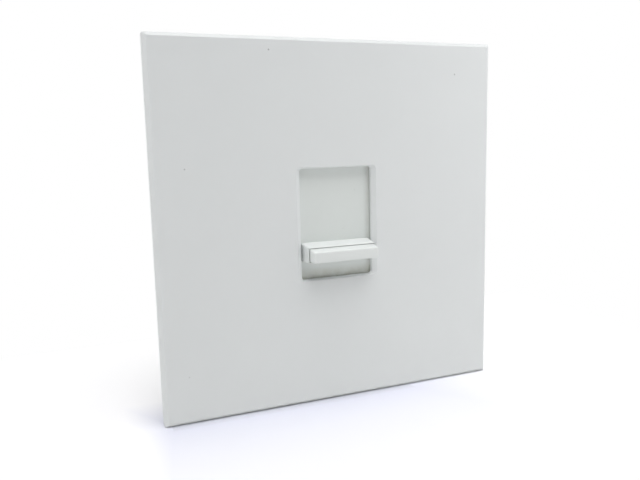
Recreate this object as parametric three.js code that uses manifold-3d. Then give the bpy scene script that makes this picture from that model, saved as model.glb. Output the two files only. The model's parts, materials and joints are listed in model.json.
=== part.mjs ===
// Dimmer slide switch: a square faceplate with a window, a slider that carries a push bar, a finned
// yoke, and behind it the housing with the slide resistor, the push switch and the electronics.
// Millimetres, +Z up. The wall is the plane y = 0, the room is on the -Y side, and the origin is
// the middle of the wall plane behind the plate.
import * as THREE from 'three';
import { mergeVertices } from 'three/addons/utils/BufferGeometryUtils.js';
import Module from 'manifold-3d';

const wasm = await Module();
wasm.setup();

// Clearances: fit between still pieces, run beside moving ones, slot round what travels along a
// slot, and the overrun of every cut
const clear = { fit: 0.3, run: 0.3, slot: 0.6, overrun: 2 };

// Counts of facets
const facets = { fine: 28, medium: 20, small: 12, corner: 4 };

// The visible front
const plate = {
  side: 115.8,
  bevelRun: 1.1,
  bevelDepth: 0.7,
  faceWall: 2.2,
  edgeWall: 2,
  float: 0.6,
  postInset: 9.4,
  postRadius: 2,
};
const opening = {
  width: 24.9,
  height: 35.4,
  rise: 0.6,
  sideRun: 1.4,
  endRun: 0.4,
  rimDepth: 1,
  cornerRadius: 0.8,
};
const knob = {
  restHeight: -8.5,
  sideClearance: 0.7,
  endClearance: 0.35,
  depth: 5.9,
  sideTaper: 0.2,
  rearAbove: 3.2,
  rearBelow: 2.8,
  frontAbove: 2.25,
  frontBelow: 2.65,
  rimAbove: 0.1,
  rimBelow: 0.25,
  rimSide: 0.1,
  stemWidth: 5.2,
  stemHeight: 4.4,
  stemEngagement: 3.7,
};
const bar = {
  press: 1.2,
  reach: 3.3,
  inside: 1.4,
  gap: 0.2,
  topDrop: 0.6,
  bottomRise: 0.05,
  sideTaper: 0.2,
};
const pushRod = { radius: 1, socketDepth: 2.7 };
const rodClip = { radius: 2.6, thickness: 0.6 };
const shutter = { thickness: 1, sideLap: 2, endLap: 1.6 };
const guide = { thickness: 0.8, lap: 1.95, wall: 1.45, pegRadius: 1.2, pegDrop: 8 };

// The heat sink yoke and what it holds
const yoke = {
  inset: 3.9,
  thickness: 2.5,
  padRise: 0.5,
  padWidth: 20,
  padHeight: 9,
  padOffset: 28,
  padInset: 5.5,
  finThickness: 1.6,
  finPitch: 5,
  finGap: 0.4,
  finEnd: 4,
  finlessWidth: 7.8,
  slotCorner: 1.3,
};
const clip = { thickness: 0.5, gap: 0.5, length: 7, finSpace: 3.2 };
const mountScrew = {
  offset: 6.7,
  shankRadius: 1.75,
  headRadius: 3.7,
  headHeight: 1.8,
  length: 25,
  seatDepth: 1.5,
  slotHalfLength: 3.5,
  driveWidth: 1,
  driveDepth: 0.9,
};
const retainer = { radius: 4.2, thickness: 0.8 };
const groundScrew = {
  x: 13,
  offset: 1.3,
  shankRadius: 1.75,
  headRadius: 3.2,
  headHeight: 2.4,
  driveWidth: 0.9,
  driveDepth: 1,
};

// The housing behind the wall, worked out from the mechanism inside it
const housing = {
  wall: 1.8,
  sideRoom: 1.7,
  endRoom: 0.4,
  rearRoom: 2.4,
  bossRadius: 3,
  bossSink: 1.6,
};
const cover = { thickness: 2 };
const housingScrew = {
  shankRadius: 1.4,
  headRadius: 2.7,
  headHeight: 1.6,
  driveWidth: 0.8,
  driveDepth: 0.8,
};
const ledge = { reach: 4.8, height: 6, z: -22 };
const pocket = {
  depth: 5,
  height: 15,
  z: 12.5,
  floor: 1.5,
  endWall: 1.5,
  frontWall: 1.1,
  rearWall: 0.9,
};

// The slider mechanism
const carriage = { setBack: 2.5, depth: 6, width: 25, height: 8 };
const guideRod = { radius: 1, inset: 2.5 };
const frame = { thickness: 2, sideLap: 2, bossGap: 0.8, endWall: 2.5, endGap: 0.4, wiperSpace: 1.7 };
const bail = {
  gap: 0.6,
  thickness: 2,
  width: 8,
  postOffset: 3.8,
  postRadius: 1.2,
  postProud: 0.8,
  endLap: 3,
};
const bailSpring = { length: 4.7, wire: 0.8 };
const resistor = { thickness: 1.5, depth: 7.5, setBack: 2, endLap: 0.3 };
const pins = {
  width: 0.8,
  thickness: 0.5,
  pitch: 4,
  z: -12,
  holderThickness: 1.4,
  holderDepth: 2.5,
  holderDrop: 5,
};
const track = { thickness: 0.2, width: 1.6, spacing: 2, endInset: 2 };
const wiper = { thickness: 0.3, width: 4, height: 6.4, fingerWidth: 1, tip: 1.2 };

// The push switch and the electronics
const board = { standOff: 8.8, thickness: 1.6 };
const boardScrew = { shankRadius: 1.2, headRadius: 2.2, headHeight: 1.4, length: 7, inset: 2.4 };
const switchCase = { width: 14, height: 17, frontWall: 2, sideWall: 1.6 };
const plunger = { radius: 2.2, bridgeBack: 0.8 };
const bridge = { thickness: 0.5, width: 9.2, height: 3.2, contactWidth: 1.6 };
const choke = {
  gap: 1.4,
  drop: 6,
  radius: 6,
  hubRadius: 2.8,
  windingInset: 0.6,
  flange: 1.4,
  height: 8.5,
};
const bigCapacitor = { gap: 2.6, width: 11, height: 18, depth: 8, radius: 1 };
const smallCapacitor = { gap: 0.6, z: 13, width: 6, height: 3, depth: 6.5, radius: 0.8 };
const triac = {
  endGap: 0.9,
  width: 10.2,
  bodyEnd: 8,
  bodyLength: 9.2,
  tabLength: 6.3,
  bodyDepth: 4.4,
  tabDepth: 1.3,
  holeInset: 2.8,
  leadPitch: 2.54,
  leadWidth: 0.8,
  leadDepth: 0.6,
  leadReach: 3.5,
};
const insulator = { thickness: 0.3, margin: 0.2 };
const triacScrew = {
  shankRadius: 1.4,
  headRadius: 2.6,
  headHeight: 2,
  driveWidth: 0.8,
  driveDepth: 0.9,
};
const diac = { x: -1, z: 14.5, radius: 1, length: 4.2, span: 9, lead: 0.6 };
const smallResistor = { x: 3, z: 19.5, pitch: 4.5, radius: 1.2, length: 6.3, span: 11, lead: 0.6 };
const terminal = { thickness: 0.8, width: 9, margin: 0.3, legWidth: 2.5, drop: 2 };
const terminalScrew = {
  shankRadius: 1.75,
  headRadius: 2.9,
  headHeight: 2,
  length: 3.2,
  driveWidth: 0.9,
  driveDepth: 0.8,
};

// Planes along Y: from the wall forwards to the push bar
const yokeRear = -yoke.padRise;
const yokeFront = yokeRear - yoke.thickness;
const guideSeat = yokeFront - guide.thickness;
const shutterRear = guideSeat - clear.run;
const shutterFront = shutterRear - shutter.thickness;
const faceRear = shutterFront - clear.run;
const plateFront = faceRear - plate.faceWall;
const plateRear = yokeFront - plate.float;
const knobFront = shutterFront - knob.depth;
const barFront = knobFront - bar.reach;
const barRear = knobFront + bar.inside;
const pocketFloor = barRear + bar.press + clear.run;

// Planes along Y: from the wall back to the rear cover
const carriageFront = yokeRear + carriage.setBack;
const stemEnd = carriageFront + knob.stemEngagement;
const carriageRear = carriageFront + carriage.depth;
const rodY = (carriageFront + carriageRear) / 2;
const rodClipFront = carriageRear + clear.fit;
const rodClipRear = rodClipFront + rodClip.thickness;
const bailFront = rodClipRear + bail.gap;
const bailRear = bailFront + bail.thickness;
const frameFront = bailRear + bailSpring.length;
const frameRear = frameFront + frame.thickness;
const caseCavity = frameRear + switchCase.frontWall;
const bridgeFront = caseCavity + plunger.bridgeBack;
const bridgeRear = bridgeFront + bridge.thickness;
const boardFront = frameRear + board.standOff;
const boardRear = boardFront + board.thickness;
const housingRear = boardRear + housing.rearRoom;
const coverRear = housingRear + cover.thickness;

// Travel of the slider in the window, and the shutter that always covers the window
const windowTop = opening.rise + opening.height / 2;
const windowBottom = opening.rise - opening.height / 2;
const highest = windowTop - knob.endClearance - knob.rearAbove;
const lowest = windowBottom + knob.endClearance + knob.rearBelow;
const shutterTop = windowTop + shutter.endLap - lowest;
const shutterBottom = windowBottom - shutter.endLap - highest;
const shutterReach = Math.max(highest + shutterTop, -lowest - shutterBottom);
const shutterHalf = opening.width / 2 + shutter.sideLap;

// Knob and push bar, front and rear outlines about the slider's middle height
const knobRear = {
  width: opening.width - 2 * knob.sideClearance,
  above: knob.rearAbove,
  below: knob.rearBelow,
};
const knobFace = {
  width: knobRear.width - 2 * knob.sideTaper,
  above: knob.frontAbove,
  below: knob.frontBelow,
};
const barBack = {
  width: knobFace.width - 2 * (knob.rimSide + bar.gap),
  above: knobFace.above - knob.rimAbove - bar.gap,
  below: knobFace.below - knob.rimBelow - bar.gap,
};
const barFace = {
  width: barBack.width - 2 * bar.sideTaper,
  above: barBack.above - bar.topDrop,
  below: barBack.below - bar.bottomRise,
};

// Distances from the middle plane x = 0 and from the middle height z = 0, inside to outside
const guideInner = shutterHalf - guide.lap;
const guideGroove = shutterHalf + clear.run;
const guideOuter = guideGroove + guide.wall;
const rodX = carriage.width / 2 - guideRod.inset;
const endWallHalf = carriage.width / 2 + frame.wiperSpace;
const resistorInner = endWallHalf + clear.fit;
const resistorOuter = resistorInner + resistor.thickness;
const frameHalf = resistorOuter + pins.thickness + frame.sideLap;
const innerX = frameHalf + housing.sideRoom;
const housingX = innerX + housing.wall;
const bossX = innerX - housing.bossRadius + housing.bossSink;
const endWallInner = Math.max(highest, -lowest) + carriage.height / 2 + frame.endGap;
const endWallOuter = endWallInner + frame.endWall;
const postZ = endWallOuter + bail.postOffset;
const triacZ = endWallOuter + triac.endGap + triac.width / 2;
const innerZ = triacZ + triac.width / 2 + housing.endRoom;
const housingZ = innerZ + housing.wall;
const bossZ = innerZ - housing.bossRadius + housing.bossSink;
const mountZ = housingZ + mountScrew.offset;
const yokeHalf = plate.side / 2 - yoke.inset;
const clipPlace = plate.side / 2 - plate.postInset;

// Places of the parts on the board and in the terminal pockets
const ledgeInner = innerX - ledge.reach;
const boardScrewX = innerX - boardScrew.inset;
const chokeX = -ledgeInner + choke.gap + choke.radius;
const chokeZ = -switchCase.height / 2 - choke.drop - choke.radius;
const bigCapacitorX = chokeX + choke.radius + bigCapacitor.gap + bigCapacitor.width / 2;
const triacBodyStart = triac.bodyEnd - triac.bodyLength;
const triacTabStart = triacBodyStart - triac.tabLength;
const triacHoleX = triacTabStart + triac.holeInset;
const triacBack = yokeRear + insulator.thickness;
const leadX = triac.bodyEnd + triac.leadReach;
const terminalFloor = housingX - pocket.depth;
const terminalFace = terminalFloor + terminal.thickness;
const pocketFront = frameRear + pocket.frontWall;
const pocketRear = boardFront - pocket.rearWall;
const terminalTip = terminalFace - terminalScrew.length;
const terminalY = (pocketFront + pocketRear) / 2;
const terminalZ = pocket.z - terminal.drop;
const smallCapacitorX = -terminalTip + smallCapacitor.gap + smallCapacitor.width / 2;

const sides = [-1, 1];
const corners = sides.flatMap((a) => sides.map((b) => [a, b]));

// Closed mesh to solid, and back to a mesh
function solid(geometry) {
  const bare = geometry.clone();
  bare.deleteAttribute('normal');
  bare.deleteAttribute('uv');
  const merged = mergeVertices(bare);
  const vertProperties = new Float32Array(merged.attributes.position.array);
  const triVerts = new Uint32Array(merged.index.array);
  return new wasm.Manifold(new wasm.Mesh({ numProp: 3, vertProperties, triVerts }));
}

function geometryOf(body) {
  const mesh = body.getMesh();
  const geometry = new THREE.BufferGeometry();
  geometry.setAttribute('position', new THREE.BufferAttribute(new Float32Array(mesh.vertProperties), 3));
  geometry.setIndex(new THREE.BufferAttribute(new Uint32Array(mesh.triVerts), 1));
  geometry.computeVertexNormals();
  return geometry;
}

function join(...list) {
  return list.reduce((whole, part) => whole.add(part));
}

function cut(body, ...tools) {
  return tools.reduce((rest, tool) => rest.subtract(tool), body);
}

// A box between its low and high values along each axis
function block([x0, x1], [y0, y1], [z0, z1]) {
  const geometry = new THREE.BoxGeometry(x1 - x0, y1 - y0, z1 - z0);
  geometry.translate((x0 + x1) / 2, (y0 + y1) / 2, (z0 + z1) / 2);
  return solid(geometry);
}

// A span about a middle, and the same span with the cuts' overrun
function about(middle, size) {
  return [middle - size / 2, middle + size / 2];
}

function beyond([low, high]) {
  return [low - clear.overrun, high + clear.overrun];
}

// A span from one distance to a farther one, on the side -1 or 1 of zero
function onSide(side, near, far) {
  return side > 0 ? [near, far] : [-far, -near];
}

// Round bars along each axis
function roundX(radius, [x0, x1], y, z, count = facets.small) {
  const geometry = new THREE.CylinderGeometry(radius, radius, x1 - x0, count);
  geometry.rotateZ(Math.PI / 2);
  geometry.translate((x0 + x1) / 2, y, z);
  return solid(geometry);
}

function roundY(radius, [y0, y1], x, z, count = facets.small) {
  const geometry = new THREE.CylinderGeometry(radius, radius, y1 - y0, count);
  geometry.translate(x, (y0 + y1) / 2, z);
  return solid(geometry);
}

function roundZ(radius, [z0, z1], x, y, count = facets.small) {
  const geometry = new THREE.CylinderGeometry(radius, radius, z1 - z0, count);
  geometry.rotateX(Math.PI / 2);
  geometry.translate(x, y, (z0 + z1) / 2);
  return solid(geometry);
}

// A solid of revolution about an axis along Y, from points of radius and y
function turned(profile, x, z, count = facets.medium) {
  const points = profile.map(([radius, y]) => new THREE.Vector2(radius, y));
  const geometry = new THREE.LatheGeometry(points, count);
  geometry.translate(x, 0, z);
  return solid(geometry);
}

function ring(inner, outer, [y0, y1], x, z, count = facets.medium) {
  return turned([[inner, y0], [outer, y0], [outer, y1], [inner, y1], [inner, y0]], x, z, count);
}

function polygon(points) {
  return new THREE.Shape(points.map(([u, v]) => new THREE.Vector2(u, v)));
}

function roundedRectangle(width, height, radius, u = 0, v = 0) {
  const [left, right] = about(u, width);
  const [low, high] = about(v, height);
  const quarter = Math.PI / 2;
  const shape = new THREE.Shape();
  shape.moveTo(left + radius, low);
  shape.absarc(right - radius, low + radius, radius, -quarter, 0, false);
  shape.absarc(right - radius, high - radius, radius, 0, quarter, false);
  shape.absarc(left + radius, high - radius, radius, quarter, 2 * quarter, false);
  shape.absarc(left + radius, low + radius, radius, 2 * quarter, 3 * quarter, false);
  return shape;
}

// Prisms: an outline in (y, z) drawn along X, in (x, z) along Y, in (x, y) along Z
function drawn(shape, depth, bevel = {}) {
  const plain = { depth, bevelEnabled: false, curveSegments: facets.corner };
  return new THREE.ExtrudeGeometry(shape, { ...plain, ...bevel });
}

function prismX(shape, [x0, x1]) {
  const geometry = drawn(shape, x1 - x0);
  geometry.rotateX(Math.PI / 2);
  geometry.rotateZ(Math.PI / 2);
  geometry.translate(x0, 0, 0);
  return solid(geometry);
}

function prismY(shape, [y0, y1], bevel) {
  const geometry = drawn(shape, y1 - y0, bevel);
  geometry.rotateX(Math.PI / 2);
  geometry.translate(0, y1, 0);
  return solid(geometry);
}

function prismZ(shape, [z0, z1]) {
  const geometry = drawn(shape, z1 - z0);
  geometry.translate(0, 0, z0);
  return solid(geometry);
}

// A bevel that widens an outline by its run within its depth, at both ends of a prism
function bevelled(run, depth) {
  return { bevelEnabled: true, bevelSize: run, bevelThickness: depth, bevelSegments: 1 };
}

// A slotted screw along Y: its head lies against the plane y = seat, its shank runs towards way
function screwY(size, x, z, seat, length, way) {
  const top = seat - way * size.headHeight;
  const inOrder = (p, q) => (p < q ? [p, q] : [q, p]);
  const head = roundY(size.headRadius, inOrder(seat, top), x, z, facets.medium);
  const shank = roundY(size.shankRadius, inOrder((seat + top) / 2, seat + way * length), x, z);
  const slot = inOrder(top - way * clear.overrun, top + way * size.driveDepth);
  const slotLength = 2 * (size.headRadius + clear.overrun);
  return cut(join(head, shank), block(about(x, slotLength), slot, about(z, size.driveWidth)));
}

// Faceplate: bevelled square shell, a window with a chamfered rim, four posts for the clips
function makeFaceplate() {
  const half = plate.side / 2;
  const flat = half - plate.bevelRun;
  const outline = polygon([[-flat, -flat], [flat, -flat], [flat, flat], [-flat, flat]]);
  const straight = [plateFront + plate.bevelDepth, plateRear + clear.overrun];
  const swollen = prismY(outline, straight, bevelled(plate.bevelRun, plate.bevelDepth));
  const square = beyond([-half, half]);
  const blank = swollen.intersect(block(square, [plateFront - clear.overrun, plateRear], square));
  const inside = about(0, plate.side - 2 * plate.edgeWall);
  const hollow = block(inside, [faceRear, plateRear + clear.overrun], inside);
  const { width: across, height: tall, cornerRadius, rise, sideRun, endRun, rimDepth } = opening;
  const rim = roundedRectangle(across, tall, cornerRadius, 0, rise);
  const window = prismY(rim, beyond([plateFront, faceRear]));
  const narrow = { width: across, above: tall / 2, below: tall / 2 };
  const wide = {
    width: across + 2 * 2 * sideRun,
    above: tall / 2 + 2 * endRun,
    below: tall / 2 + 2 * endRun,
  };
  const chamfer = taperedBar([plateFront - rimDepth, plateFront + rimDepth], wide, narrow, rise);
  const postSpan = [(plateFront + faceRear) / 2, yokeRear - clear.fit];
  const posts = corners.map(([a, b]) => {
    return roundY(plate.postRadius, postSpan, a * clipPlace, b * clipPlace, facets.medium);
  });
  return join(cut(blank, hollow, window, chamfer), ...posts);
}

// Shutter: flat plate behind the window that travels with the slider
function makeShutter() {
  const z = [knob.restHeight + shutterBottom, knob.restHeight + shutterTop];
  const sheet = block([-shutterHalf, shutterHalf], [shutterFront, shutterRear], z);
  return cut(sheet, stemBlock(clear.fit, beyond([shutterFront, shutterRear])));
}

function stemBlock(gap, y) {
  const x = about(0, knob.stemWidth + 2 * gap);
  return block(x, y, about(knob.restHeight, knob.stemHeight + 2 * gap));
}

// A bar that tapers from its rear outline to its front one, about the height z
function taperedBar([y0, y1], front, rear, z = knob.restHeight) {
  const side = polygon([
    [y0, z - front.below],
    [y1, z - rear.below],
    [y1, z + rear.above],
    [y0, z + front.above],
  ]);
  const plan = polygon([
    [-front.width / 2, y0],
    [front.width / 2, y0],
    [rear.width / 2, y1],
    [-rear.width / 2, y1],
  ]);
  const widest = Math.max(front.width, rear.width);
  const low = z - Math.max(front.below, rear.below);
  const high = z + Math.max(front.above, rear.above);
  return prismX(side, beyond(about(0, widest))).intersect(prismZ(plan, beyond([low, high])));
}

// Slider knob: hollow front for the push bar, hollow stem that plugs into the carriage
function makeKnob() {
  const z = knob.restHeight;
  const outside = taperedBar([knobFront, shutterFront], knobFace, knobRear);
  const hollow = block(
    about(0, barBack.width + 2 * bar.gap),
    [knobFront - clear.overrun, pocketFloor],
    [z - barBack.below - bar.gap, z + barBack.above + bar.gap],
  );
  const stem = stemBlock(0, [(pocketFloor + shutterFront) / 2, stemEnd]);
  const bore = roundY(pushRod.radius + clear.run, beyond([pocketFloor, stemEnd]), 0, z);
  return cut(join(outside, stem), hollow, bore);
}

// Push bar: what the finger presses, sliding in the knob's front
function makePushBar() {
  const outside = taperedBar([barFront, knobFront], barFace, barBack);
  const inside = taperedBar([knobFront, barRear], barBack, barBack);
  const depth = [barRear - pushRod.socketDepth, barRear + clear.overrun];
  return cut(join(outside, inside), roundY(pushRod.radius + clear.fit, depth, 0, knob.restHeight));
}

function makePushRod() {
  const span = [barRear - pushRod.socketDepth, bailFront - clear.run];
  return roundY(pushRod.radius, span, 0, knob.restHeight);
}

function makeRodClip() {
  const span = [rodClipFront, rodClipRear];
  return ring(pushRod.radius + clear.fit, rodClip.radius, span, 0, knob.restHeight, facets.small);
}

// Shutter guide: angled strip on one side, pegged into the yoke
const pegX = (guideInner + guideOuter) / 2;
const pegZ = bossZ - guide.pegDrop;

function makeGuide(side) {
  const section = [
    [guideInner, guideSeat],
    [guideGroove, guideSeat],
    [guideGroove, shutterFront],
    [guideOuter, shutterFront],
    [guideOuter, yokeFront],
    [guideInner, yokeFront],
  ];
  const reach = shutterReach + clear.fit;
  const strip = prismZ(polygon(section.map(([x, y]) => [side * x, y])), [-reach, reach]);
  const pegSpan = [(guideSeat + yokeFront) / 2, yokeRear - clear.fit];
  const pegs = sides.map((b) => roundY(guide.pegRadius, pegSpan, side * pegX, b * pegZ));
  return join(strip, ...pegs);
}

// Heat sink yoke: plate with fins in front, wall pads behind, and its slots and holes
function makeYoke() {
  const square = [-yokeHalf, yokeHalf];
  const middle = (yokeFront + yokeRear) / 2;
  const sheet = block(square, [yokeFront, yokeRear], square);
  const pads = corners.map(([a, b]) => {
    const z = b * (yokeHalf - yoke.padInset);
    return block(about(a * yoke.padOffset, yoke.padWidth), [middle, 0], about(z, yoke.padHeight));
  });
  const through = beyond([yokeFront, yokeRear]);
  const holeY = (radius, x, z) => roundY(radius + clear.fit, through, x, z);
  const slotWidth = knob.stemWidth + 2 * clear.slot;
  const slotHeight = highest - lowest + knob.stemHeight + 2 * clear.slot;
  const slotMiddle = (highest + lowest) / 2;
  const stemSlot = roundedRectangle(slotWidth, slotHeight, yoke.slotCorner, 0, slotMiddle);
  const slotEnd = mountScrew.shankRadius + clear.fit;
  const mountSlots = sides.flatMap((b) => {
    const straight = about(0, 2 * (mountScrew.slotHalfLength - slotEnd));
    const seat = [yokeFront - clear.overrun, yokeFront + mountScrew.seatDepth];
    return [
      block(straight, through, about(b * mountZ, 2 * slotEnd)),
      ...straight.map((x) => roundY(slotEnd, through, x, b * mountZ)),
      roundY(mountScrew.headRadius + clear.fit, seat, 0, b * mountZ, facets.fine),
    ];
  });
  const holes = corners.flatMap(([a, b]) => [
    roundY(plate.postRadius + clear.fit, through, a * clipPlace, b * clipPlace, facets.medium),
    holeY(housingScrew.shankRadius, a * bossX, b * bossZ),
    holeY(guide.pegRadius, a * pegX, b * pegZ),
  ]);
  return cut(
    join(sheet, ...pads, ...makeFins(middle)),
    prismY(stemSlot, through),
    ...mountSlots,
    ...holes,
    holeY(triacScrew.shankRadius, triacHoleX, triacZ),
    holeY(groundScrew.shankRadius, groundScrew.x, groundScrewZ),
  );
}

// Fins beside the guides, shorter where the clips stand
function makeFins(root) {
  const first = guideOuter + yoke.finlessWidth;
  const count = Math.floor((yokeHalf - first) / yoke.finPitch);
  const fins = [];
  for (let i = 0; i < count; i += 1) {
    const x = first + i * yoke.finPitch;
    const besideClip = x + clip.length > clipPlace;
    const reach = besideClip ? clipPlace - clip.length - clip.finSpace : yokeHalf - yoke.finEnd;
    for (const side of sides) {
      const depth = [faceRear + yoke.finGap, root];
      fins.push(block(about(side * x, yoke.finThickness), depth, [-reach, reach]));
    }
  }
  return fins;
}

// Faceplate clip: a U strip on the yoke round one of the faceplate's posts
function makeClip(a, b) {
  const inner = plate.postRadius + clear.fit;
  const outer = inner + clip.thickness;
  const legs = clip.length - outer;
  const outline = [
    [-outer, -legs],
    [-inner, -legs],
    [-inner, inner],
    [inner, inner],
    [inner, -legs],
    [outer, -legs],
    [outer, outer],
    [-outer, outer],
  ];
  const placed = outline.map(([u, v]) => [a * clipPlace + u, b * (clipPlace + v)]);
  return prismY(polygon(placed), [faceRear + clip.gap, yokeFront]);
}

function makeMountScrew(b) {
  return screwY(mountScrew, 0, b * mountZ, yokeFront + mountScrew.seatDepth, mountScrew.length, 1);
}

function makeRetainer(b) {
  const span = [yokeRear, yokeRear + retainer.thickness];
  return ring(mountScrew.shankRadius + clear.fit, retainer.radius, span, 0, b * mountZ);
}

const groundScrewZ = -housingZ - groundScrew.headRadius - groundScrew.offset;

function makeGroundScrew() {
  const length = yoke.thickness - clear.fit;
  return screwY(groundScrew, groundScrew.x, groundScrewZ, yokeRear, length, -1);
}

// Housing: tube with corner bosses, two ledges for the board and two terminal pockets
function makeHousing() {
  const span = [yokeRear, housingRear];
  const shell = block([-housingX, housingX], span, [-housingZ, housingZ]);
  const tube = cut(shell, block([-innerX, innerX], beyond(span), [-innerZ, innerZ]));
  const rest = [frameRear, boardFront];
  const solids = sides.flatMap((a) => [
    block(onSide(a, ledgeInner, innerX + housing.wall / 2), rest, about(ledge.z, ledge.height)),
    block(
      onSide(a, terminalFloor - pocket.floor, housingX),
      rest,
      about(pocket.z, pocket.height + 2 * pocket.endWall),
    ),
  ]);
  const legDepth = [terminalFloor - clear.fit, terminalFace + clear.fit];
  const cuts = sides.flatMap((a) => [
    block(
      onSide(a, terminalFloor, housingX + clear.overrun),
      [pocketFront, pocketRear],
      about(pocket.z, pocket.height),
    ),
    block(
      onSide(a, ...legDepth),
      beyond([pocketRear, boardFront]),
      about(terminalZ, terminal.legWidth + 2 * clear.fit),
    ),
    roundX(
      terminalScrew.shankRadius + clear.fit,
      onSide(a, ...beyond([terminalFloor - pocket.floor, terminalFloor])),
      terminalY,
      terminalZ,
    ),
    boardScrewHole(a, [boardRear - boardScrew.length - clear.fit, boardFront + clear.overrun]),
  ]);
  const bosses = corners.map(([a, b]) => {
    return roundY(housing.bossRadius, span, a * bossX, b * bossZ, facets.medium);
  });
  return cut(join(tube, ...bosses, ...solids), ...bossHoles(), ...cuts);
}

function bossHoles() {
  const span = beyond([yokeRear, coverRear]);
  const radius = housingScrew.shankRadius + clear.fit;
  return corners.map(([a, b]) => roundY(radius, span, a * bossX, b * bossZ));
}

function boardScrewHole(side, span) {
  return roundY(boardScrew.shankRadius + clear.fit, span, side * boardScrewX, ledge.z);
}

function makeCover() {
  const sheet = block([-housingX, housingX], [housingRear, coverRear], [-housingZ, housingZ]);
  return cut(sheet, ...bossHoles());
}

function makeHousingScrew(a, b) {
  const length = coverRear - yokeFront - clear.fit;
  return screwY(housingScrew, a * bossX, b * bossZ, coverRear, length, -1);
}

// Track frame: base plate, two end walls that carry the guide rods, two posts for the bail
function makeFrame() {
  const halfZ = bossZ - housing.bossRadius - frame.bossGap;
  const base = [frameFront, frameRear];
  const middle = (frameFront + frameRear) / 2;
  const basePlate = block([-frameHalf, frameHalf], base, [-halfZ, halfZ]);
  const walls = sides.map((b) => {
    return block([-endWallHalf, endWallHalf], [yokeRear, middle], onSide(b, endWallInner, endWallOuter));
  });
  const notches = sides.map((b) => {
    const ends = onSide(b, ...beyond([endWallInner, endWallOuter]));
    return block(about(0, bail.width + 2 * clear.slot), [bailFront - clear.slot, frameFront], ends);
  });
  const rodHoles = sides.map((a) => {
    return roundZ(guideRod.radius + clear.fit, beyond([-endWallOuter, endWallOuter]), a * rodX, rodY);
  });
  const leadZ = triac.leadPitch + triac.leadWidth / 2 + clear.fit;
  const leadNotch = block(
    [leadX - triac.leadDepth - clear.fit, leadX + clear.fit],
    beyond(base),
    [triacZ - leadZ, halfZ + clear.overrun],
  );
  const pinSlot = block(
    [resistorOuter - clear.fit, resistorOuter + pins.thickness + clear.fit],
    beyond(base),
    about(pins.z, 2 * (pins.pitch + clear.fit) + pins.width),
  );
  const plungerHole = roundY(plunger.radius + clear.run, beyond(base), 0, 0, facets.medium);
  const postSpan = [bailFront - bail.postProud, middle];
  const posts = sides.map((b) => roundY(bail.postRadius, postSpan, 0, b * postZ));
  const body = cut(join(basePlate, ...walls), ...notches, ...rodHoles, leadNotch, pinSlot, plungerHole);
  return join(body, ...posts);
}

function makeGuideRod(side) {
  return roundZ(guideRod.radius, [-endWallOuter, endWallOuter], side * rodX, rodY);
}

// Carriage: runs on the two rods, takes the knob's stem and carries the wiper
function makeCarriage() {
  const z = about(knob.restHeight, carriage.height);
  const body = block(about(0, carriage.width), [carriageFront, carriageRear], z);
  const socket = stemBlock(clear.fit, [carriageFront - clear.overrun, stemEnd + clear.fit]);
  const bores = sides.map((a) => roundZ(guideRod.radius + clear.run, beyond(z), a * rodX, rodY));
  const through = beyond([stemEnd, carriageRear]);
  const rodBore = roundY(pushRod.radius + clear.run, through, 0, knob.restHeight);
  return cut(body, socket, ...bores, rodBore);
}

// Wiper: brass leaf on the carriage's side, with a finger for each track
function makeWiper() {
  const z = knob.restHeight;
  const root = carriage.width / 2;
  const half = wiper.height / 2;
  const base = block([root, root + wiper.thickness], about(rodY, wiper.width), [z - half, z + half]);
  const tip = resistorInner - track.thickness - clear.run;
  const leaf = polygon([
    [root + wiper.thickness / 2, z + half],
    [root + wiper.thickness, z + half - wiper.thickness],
    [tip, z + wiper.tip / 2],
    [tip, z - wiper.tip / 2],
    [tip - wiper.thickness, z - wiper.tip / 2],
    [tip - wiper.thickness, z + wiper.tip / 2 - wiper.thickness / 2],
    [root + wiper.thickness / 2, z + half - 2 * wiper.thickness],
  ]);
  const fingers = sides.map((side) => prismY(leaf, about(trackY(side), wiper.fingerWidth)));
  return join(base, ...fingers);
}

// Slide resistor: board on the end walls, its two tracks and its pins
function trackY(side) {
  return rodY + (side * track.spacing) / 2;
}

function makeResistorBoard() {
  const front = yokeRear + resistor.setBack;
  const reach = endWallOuter + resistor.endLap;
  return block([resistorInner, resistorOuter], [front, front + resistor.depth], [-reach, reach]);
}

function makeTrack(side) {
  const reach = endWallOuter - track.endInset;
  const depth = [resistorInner - track.thickness, resistorInner];
  return block(depth, about(trackY(side), track.width), [-reach, reach]);
}

function makeResistorPins() {
  const legs = [-1, 0, 1].map((i) => {
    const x = [resistorOuter, resistorOuter + pins.thickness];
    return block(x, [rodY, boardFront], about(pins.z + i * pins.pitch, pins.width));
  });
  const front = rodY + pins.holderDrop;
  const holder = block(
    [resistorOuter, resistorOuter + pins.holderThickness],
    [front, front + pins.holderDepth],
    about(pins.z, 2 * (pins.pitch + pins.width)),
  );
  return join(...legs, holder);
}

// Bail: bar that the push rod presses at any slider height, on two posts with springs
function makeBail() {
  const span = [bailFront, bailRear];
  const reach = postZ + bail.endLap;
  const body = block(about(0, bail.width), span, [-reach, reach]);
  const holes = sides.map((b) => roundY(bail.postRadius + clear.run, beyond(span), 0, b * postZ));
  return cut(body, ...holes);
}

function makeBailSpring(b) {
  const inner = bail.postRadius + clear.run;
  return ring(inner, inner + bailSpring.wire, [bailRear, frameFront], 0, b * postZ, facets.small);
}

// Push switch: case open to the board, plunger, contact bridge and two fixed contacts
function makeSwitchCase() {
  const inside = 2 * switchCase.sideWall;
  const body = block(about(0, switchCase.width), [frameRear, boardFront], about(0, switchCase.height));
  const cavity = block(
    about(0, switchCase.width - inside),
    [caseCavity, boardFront + clear.overrun],
    about(0, switchCase.height - inside),
  );
  const bore = roundY(plunger.radius + clear.run, beyond([frameRear, caseCavity]), 0, 0, facets.medium);
  return cut(body, cavity, bore);
}

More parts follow.
